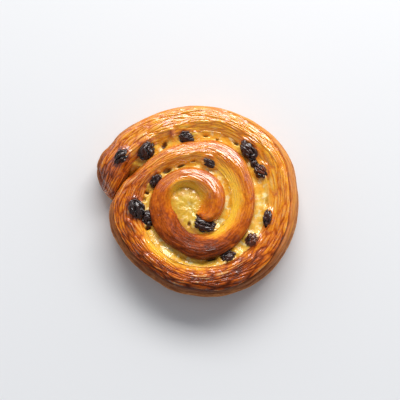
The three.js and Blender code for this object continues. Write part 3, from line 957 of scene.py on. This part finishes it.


# How far each place is baked, with painted shade on the front of the lip and in the crack, and where the
# glaze lies
def bakedStrip(shape, law, geometry):
    n = shape.nodes
    angle = shape.field("turning")
    across = shape.field("across")
    shown = shape.field("shown")
    bare = shape.field("exposed")
    onSide = shape.field("side")
    crosswise = n.parts(shape.field("flow", "FLOAT_VECTOR"))[1]
    # the stain's reach, with painted light where it reaches further
    stained = law.along(stainReachAndPaintedLight, angle)
    # the crest's toast, with painted shade round the lower left
    top = law.along(crestToastAndShade, angle)
    low = n.mix(n.least(stained / 0.2, 1.0), top - topBaking["groove"], topBaking["stained"])
    # painted shade: the bare lip is darkened most where it faces away from the lamp
    front = n.most(n.cosine((angle - topBaking["shadeAngle"]) * degree), 0.0)
    slope = n.ramp(across, stained - 0.12, stained + 0.34)
    lip = n.ramp(across, 0.62, 0.95) * (topBaking["lip"] + front * bare * topBaking["lipShade"])
    pale = n.ramp(crosswise, shoulder, shoulder + sideBaking["shoulderReach"]) * sideBaking["belt"]
    dark = n.ramp(crosswise, foot - sideBaking["footReach"], foot) * sideBaking["foot"]
    sideToast = sideBaking["shoulder"] + (top - 0.5) * sideBaking["crestShare"] - pale + dark
    toast = n.mix(onSide, n.mix(slope, low, top) + lip, sideToast)
    # painted shade: darker in the crack along the rim
    toast = toast + rimSplit(shape, law) * topBaking["crack"]
    toasted = shape.store(geometry, "toast", n.mix(shown, topBaking["hidden"], toast))
    toasted = shape.store(toasted, "flaky", law.along(flakiness, angle, mostFlaky))
    crack = law.along(splitAt, angle)
    beyondCrack = n.ramp(across, crack - 0.02, crack + 0.05) * bare
    glaze = shown * (1.0 - n.most(beyondCrack, onSide * bare))
    glazed = shape.store(toasted, "glaze", glaze)
    return shape.store(glazed, "gloss", glaze * law.along(glazeCover, angle))


def makeDoughTree():
    shape = ShapeTree("dough_coil", dough)
    law = CoilLaw(shape.nodes)
    layered = layeredStrip(shape, law, rolledStrip(shape, law))
    baked = bakedStrip(shape, law, sunk(shape, welled(shape, layered)))
    shape.finish(baked, shape.get("Finish"))
    return shape


makePiece(makeDoughTree(), "dough_coil", dough, "dough")


custard = {
    "Steps along": 560, "Rows on top": 18, "Rows on each side": 12, "Rows underneath": 2,
    "Overlap": 0.5, "Hollow": 0.7, "Root of tail": 508.0, "Floor": 0.4,
    "Lump": 1.0,
    "Raisins": raisinSkins, "Finish": custardMaterial,
}
fanOverlap = 12.0           # the degrees by which the fan in the eye laps over its own start
custardRise = 0.2           # how far the custard stands over the lowest line of the groove
endLevel = 12.0             # the height at which the ribbon closes to a point
lumpScale = 220.0


# The custard starts as a fan about the eye that overlaps itself a little, and goes on as a ribbon
# that follows the strip's outer edge. It closes over the first two stations and the last five.
def pouredRibbon(shape, law):
    n = shape.nodes
    steps = shape.get("Steps along")
    sideRows = shape.get("Rows on each side")
    counts = [shape.get("Rows on top"), sideRows, shape.get("Rows underneath"), sideRows]
    rows = sum(counts)
    sheet, station, row = shape.counted(skinSheet(n, steps, rows), steps, rows)
    across, down, under, up = sectionShares(n, row, counts)
    along = across - under
    depth = down - up

    start = coil["start"] - turn - fanOverlap
    angle = start + (shape.get("Root of tail") - start) * station / steps
    inGroove = n.ramp(angle, coil["start"] - 1, coil["start"] + 3)
    narrowing = n.ramp(depth, 0.0, 1 - coil["seamTop"], "LINEAR")
    overlap = shape.get("Overlap")
    near = inGroove * (law.outer(angle) + law.spreadOutside(angle) * narrowing - overlap)
    far = law.inner(angle + turn) - law.spreadInside(angle + turn) * narrowing + overlap
    sloping = n.mix(along, law.grooveOutside(angle), law.grooveInside(angle + turn))
    level = n.mix(inGroove, coil["poolHeight"], sloping)
    buried = 1.0 - n.ramp(angle, start, start + fanOverlap)
    dip = n.sine(across * math.pi) * shape.get("Hollow") * n.mix(inGroove, -1.0, 1.0)
    height = n.mix(depth, level + custardRise - dip - buried * 0.4, shape.get("Floor"))
    opening = n.least(n.least((steps - station) / 5, station / 2), 1.0)
    leaning = n.ramp(angle + turn, coil["end"] - coil["tailLeanReach"], coil["end"])
    lean = along * coil["tailLean"] / 2 * leaning
    ringRadius = n.mix(opening, (near + far) / 2, n.mix(along, near, far))
    poured = n.add("GeometryNodeSetPosition", None, {
        "Geometry": sheet,
        "Position": law.place(angle + lean, ringRadius, n.mix(opening, endLevel, height))})
    marked = shape.store(poured, "top", 1.0 - n.ramp(depth, 0.0, 0.2))
    marked = shape.store(marked, "edge", n.mix(inGroove, across, n.size(across - 0.5) * 2.0))
    marked = shape.store(marked, "groove", inGroove)
    return welded(n, marked)


def makeCustardTree():
    shape = ShapeTree("custard_ribbon", custard)
    n = shape.nodes
    ribbon = pouredRibbon(shape, CoilLaw(n))
    lumps = n.noise(n.add("GeometryNodeInputPosition"), lumpScale, 3.0, 0.55) - 0.5
    lumpy = shape.pushed(ribbon, lumps * shape.get("Lump") * 2 * mm * shape.field("top"))
    shape.finish(sunk(shape, welled(shape, lumpy)), shape.get("Finish"))
    return shape


makePiece(makeCustardTree(), "custard_ribbon", custard, "custard")


# The stage, the light and the camera: angles in degrees, sizes and distances in metres
stage = {
    "tableSize": 3.0, "tableColour": tint(228, 229, 231), "tableRoughness": 0.45,
    "skyColour": tint(240, 244, 250), "skyStrength": 1.15, "farStrength": 0.42, "skySpread": 0.8,
    "zenithStrength": 0.12, "zenithFrom": 0.5, "zenithTo": 0.95,
    "lampAzimuth": 78, "lampElevation": 46, "lampDistance": 2.0, "lampTarget": (0, 0, 0.015),
    "lampWidth": 1.8, "lampHeight": 0.8, "lampPower": 44.0,
    "lampColour": (1.0, 0.985, 0.965),
}


def makeTable():
    material, n = newMaterial("pale_table")
    surface(n, {"Base Color": stage["tableColour"], "Roughness": stage["tableRoughness"]})
    half = stage["tableSize"] / 2
    mesh = bpy.data.meshes.new("table_top")
    mesh.from_pydata([(-half, -half, 0), (half, -half, 0), (half, half, 0), (-half, half, 0)],
                     [], [(0, 1, 2, 3)])
    mesh.materials.append(material)
    table = bpy.data.objects.new("table_top", mesh)
    bpy.context.scene.collection.objects.link(table)


def aim(thing, target):
    thing.rotation_euler = (Vector(target) - thing.location).to_track_quat("-Z", "Y").to_euler()


def makeLight():
    world = bpy.data.worlds.new("soft_room")
    bpy.context.scene.world = world
    world.use_nodes = True
    world.node_tree.nodes.clear()
    n = Nodes(world.node_tree)
    x, y, height = n.parts(n.add("ShaderNodeTexCoord", None, None, "Generated"))
    azimuth = math.radians(stage["lampAzimuth"])
    facing = x * math.cos(azimuth) + y * math.sin(azimuth)
    toWindow = n.ramp(facing, -stage["skySpread"], stage["skySpread"])
    toZenith = n.ramp(height, stage["zenithFrom"], stage["zenithTo"])
    around = n.mix(toWindow, stage["farStrength"], stage["skyStrength"])
    strength = n.mix(toZenith, around, stage["zenithStrength"])
    sky = n.add("ShaderNodeBackground", None, {"Color": stage["skyColour"], "Strength": strength})
    n.add("ShaderNodeOutputWorld", None, {"Surface": sky})
    lamp = bpy.data.lights.new("window", "AREA")
    lamp.shape = "RECTANGLE"
    lamp.size = stage["lampWidth"]
    lamp.size_y = stage["lampHeight"]
    lamp.energy = stage["lampPower"]
    lamp.color = stage["lampColour"]
    window = bpy.data.objects.new("window", lamp)
    elevation = math.radians(stage["lampElevation"])
    reach = stage["lampDistance"]
    window.location = (reach * math.cos(elevation) * math.cos(azimuth),
                       reach * math.cos(elevation) * math.sin(azimuth),
                       reach * math.sin(elevation))
    aim(window, stage["lampTarget"])
    bpy.context.scene.collection.objects.link(window)


# The camera looks almost straight down, from a little in front of the pastry
view = {"elevation": 82, "distance": 0.62, "target": (0.00145, -0.0001, 0.014), "widthSeen": 0.231,
        "sensor": 36.0, "nearest": 0.01}


def makeCamera():
    data = bpy.data.cameras.new("camera")
    data.sensor_width = view["sensor"]
    data.lens = view["sensor"] * view["distance"] / view["widthSeen"]
    data.clip_start = view["nearest"]
    camera = bpy.data.objects.new("camera", data)
    elevation = math.radians(view["elevation"])
    target = Vector(view["target"])
    camera.location = target + Vector((0, -math.cos(elevation), math.sin(elevation))) * view["distance"]
    aim(camera, target)
    bpy.context.scene.collection.objects.link(camera)
    bpy.context.scene.camera = camera


makeTable()
makeLight()
makeCamera()
bpy.context.scene.view_settings.view_transform = "Standard"
print("stage set")
